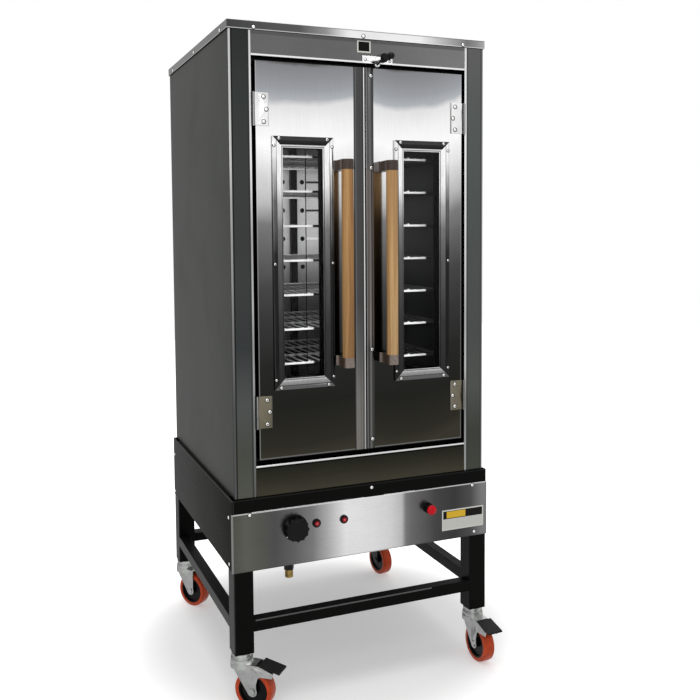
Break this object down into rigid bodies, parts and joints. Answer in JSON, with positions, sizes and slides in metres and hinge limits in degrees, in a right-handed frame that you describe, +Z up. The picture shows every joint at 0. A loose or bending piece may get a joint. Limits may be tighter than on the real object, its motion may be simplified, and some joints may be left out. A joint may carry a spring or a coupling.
{
  "type": "convection oven",
  "caption": "Tall gas convection oven with two glazed doors, wooden handles, wire shelves and a fan, on a black stand with four casters.",
  "frame": {"origin": "on the floor, under the middle of the bounding box", "axes": "+Z up, +X to the viewer's right as the doors are faced, and the doors face -Y"},
  "size_m": [0.7225, 0.8049, 1.6895],
  "materials": {
    "front_stainless": "bright brushed stainless steel",
    "side_stainless": "duller brushed stainless steel",
    "trim_steel": "dark polished stainless steel",
    "liner_steel": "plain stainless steel",
    "black_paint": "semi-gloss black paint",
    "black_plastic": "glossy black plastic",
    "black_enamel": "glossy black enamel",
    "red_plastic": "glossy red plastic",
    "inlet_brass": "machined brass",
    "cast_aluminium": "plain cast",
    "motor_grey": "satin grey paint",
    "fan_steel": "plain stainless steel",
    "gasket_rubber": "matte black rubber",
    "zinc_plate": "bright zinc plate",
    "shelf_chrome": "bright chromium plate",
    "window_glass": "clear toughened glass",
    "handle_wood": "varnished light brown wood",
    "bracket_brown": "dark brown lacquer",
    "wheel_rubber": "smooth orange polyurethane tyre"
  },
  "bodies": {
    "cabinet": {"stand_frame": "black_paint", "base_panels": "side_stainless", "control_panel": "front_stainless", "blank_plates": "black_plastic", "indicator_lamps": "black_plastic", "button_collar": "black_plastic", "gas_inlet": "inlet_brass", "gas_thermostat": "cast_aluminium", "cabinet_left_side": "side_stainless", "cabinet_right_side": "side_stainless", "cabinet_back": "side_stainless", "cabinet_lid": "front_stainless", "header_panel": "front_stainless", "lower_front_panel": "front_stainless", "oven_liner": "liner_steel", "door_gasket": "gasket_rubber", "fan_baffle": "liner_steel", "fan_motor": "motor_grey", "rack_supports": "liner_steel", "frame_hinges": "zinc_plate", "latch_plate": "zinc_plate", "cabinet_screws": "zinc_plate", "caster_stems": "zinc_plate"},
    "left_door": {"left_door_skin": "front_stainless", "left_door_back": "front_stainless", "left_window_glass": "window_glass", "left_window_trim": "trim_steel", "left_meeting_strip": "trim_steel", "left_handle_grip": "handle_wood", "left_handle_brackets": "bracket_brown", "left_door_hinges": "zinc_plate"},
    "right_door": {"right_door_skin": "front_stainless", "right_door_back": "front_stainless", "right_window_glass": "window_glass", "right_window_trim": "trim_steel", "right_meeting_strip": "trim_steel", "right_handle_grip": "handle_wood", "right_handle_brackets": "bracket_brown", "right_door_hinges": "zinc_plate"},
    "latch_lever": {"latch_lever": "black_enamel"},
    "control_knob": {"control_knob": "black_plastic"},
    "push_button": {"push_button": "red_plastic"},
    "fan_wheel": {"fan_wheel": "fan_steel"},
    "shelf_1": {"shelf_1": "shelf_chrome"},
    "shelf_2": {"shelf_2": "shelf_chrome"},
    "shelf_3": {"shelf_3": "shelf_chrome"},
    "shelf_4": {"shelf_4": "shelf_chrome"},
    "shelf_5": {"shelf_5": "shelf_chrome"},
    "shelf_6": {"shelf_6": "shelf_chrome"},
    "shelf_7": {"shelf_7": "shelf_chrome"},
    "front_left_fork": {"front_left_fork": "zinc_plate"},
    "front_left_wheel": {"front_left_wheel": "wheel_rubber"},
    "front_right_fork": {"front_right_fork": "zinc_plate"},
    "front_right_wheel": {"front_right_wheel": "wheel_rubber"},
    "rear_left_fork": {"rear_left_fork": "zinc_plate"},
    "rear_left_wheel": {"rear_left_wheel": "wheel_rubber"},
    "rear_right_fork": {"rear_right_fork": "zinc_plate"},
    "rear_right_wheel": {"rear_right_wheel": "wheel_rubber"},
    "front_left_pedal": {"front_left_pedal": "black_enamel"},
    "front_right_pedal": {"front_right_pedal": "black_enamel"}
  },
  "joints": [
    {"name": "left_door_hinge", "type": "hinge", "parent": "cabinet", "child": "left_door", "pos_m": [-0.2902, -0.31025, 1.11125], "axis": [0, 0, -1], "range_deg": [0, 120]},
    {"name": "right_door_hinge", "type": "hinge", "parent": "cabinet", "child": "right_door", "pos_m": [0.2902, -0.31025, 1.11125], "axis": [0, 0, 1], "range_deg": [0, 120]},
    {"name": "latch_turn", "type": "hinge", "parent": "cabinet", "child": "latch_lever", "pos_m": [0.052, -0.317, 1.623], "axis": [0, -1, 0], "range_deg": [0, 48]},
    {"name": "knob_turn", "type": "hinge", "parent": "cabinet", "child": "control_knob", "pos_m": [-0.198, -0.33, 0.444], "axis": [0, 1, 0], "range_deg": [0, 270]},
    {"name": "button_press", "type": "slide", "parent": "cabinet", "child": "push_button", "axis": [0, 1, 0], "range_m": [0, 0.004], "stiffness_N_per_m": 500},
    {"name": "fan_spin", "type": "hinge", "parent": "cabinet", "child": "fan_wheel", "pos_m": [0, 0.3, 1.504], "axis": [0, -1, 0], "continuous": true},
    {"name": "shelf_1_slide", "type": "slide", "parent": "cabinet", "child": "shelf_1", "axis": [0, -1, 0], "range_m": [0, 0.035]},
    {"name": "shelf_2_slide", "type": "slide", "parent": "cabinet", "child": "shelf_2", "axis": [0, -1, 0], "range_m": [0, 0.035]},
    {"name": "shelf_3_slide", "type": "slide", "parent": "cabinet", "child": "shelf_3", "axis": [0, -1, 0], "range_m": [0, 0.035]},
    {"name": "shelf_4_slide", "type": "slide", "parent": "cabinet", "child": "shelf_4", "axis": [0, -1, 0], "range_m": [0, 0.035]},
    {"name": "shelf_5_slide", "type": "slide", "parent": "cabinet", "child": "shelf_5", "axis": [0, -1, 0], "range_m": [0, 0.035]},
    {"name": "shelf_6_slide", "type": "slide", "parent": "cabinet", "child": "shelf_6", "axis": [0, -1, 0], "range_m": [0, 0.035]},
    {"name": "shelf_7_slide", "type": "slide", "parent": "cabinet", "child": "shelf_7", "axis": [0, -1, 0], "range_m": [0, 0.035]},
    {"name": "front_left_swivel", "type": "hinge", "parent": "cabinet", "child": "front_left_fork", "pos_m": [-0.332, -0.28925, 0.12], "axis": [0, 0, 1], "continuous": true},
    {"name": "front_right_swivel", "type": "hinge", "parent": "cabinet", "child": "front_right_fork", "pos_m": [0.332, -0.28925, 0.12], "axis": [0, 0, 1], "continuous": true},
    {"name": "rear_left_swivel", "type": "hinge", "parent": "cabinet", "child": "rear_left_fork", "pos_m": [-0.332, 0.37475, 0.12], "axis": [0, 0, 1], "continuous": true},
    {"name": "rear_right_swivel", "type": "hinge", "parent": "cabinet", "child": "rear_right_fork", "pos_m": [0.332, 0.37475, 0.12], "axis": [0, 0, 1], "continuous": true},
    {"name": "front_left_roll", "type": "hinge", "parent": "front_left_fork", "child": "front_left_wheel", "pos_m": [-0.30525, -0.31334, 0.05], "axis": [0.6691, 0.7431, 0], "continuous": true},
    {"name": "front_right_roll", "type": "hinge", "parent": "front_right_fork", "child": "front_right_wheel", "pos_m": [0.33388, -0.3252, 0.05], "axis": [0.9986, 0.0523, 0], "continuous": true},
    {"name": "rear_left_roll", "type": "hinge", "parent": "rear_left_fork", "child": "rear_left_wheel", "pos_m": [-0.31135, 0.34526, 0.05], "axis": [0.8191, 0.5736, 0], "continuous": true},
    {"name": "rear_right_roll", "type": "hinge", "parent": "rear_right_fork", "child": "rear_right_wheel", "pos_m": [0.33701, 0.3391, 0.05], "axis": [0.9903, 0.1392, 0], "continuous": true},
    {"name": "front_left_brake", "type": "hinge", "parent": "front_left_fork", "child": "front_left_pedal", "pos_m": [-0.29856, -0.31936, 0.106], "axis": [0.6691, 0.7431, 0], "range_deg": [0, 5]},
    {"name": "front_right_brake", "type": "hinge", "parent": "front_right_fork", "child": "front_right_pedal", "pos_m": [0.33436, -0.33419, 0.106], "axis": [0.9986, 0.0523, 0], "range_deg": [0, 5]}
  ]
}
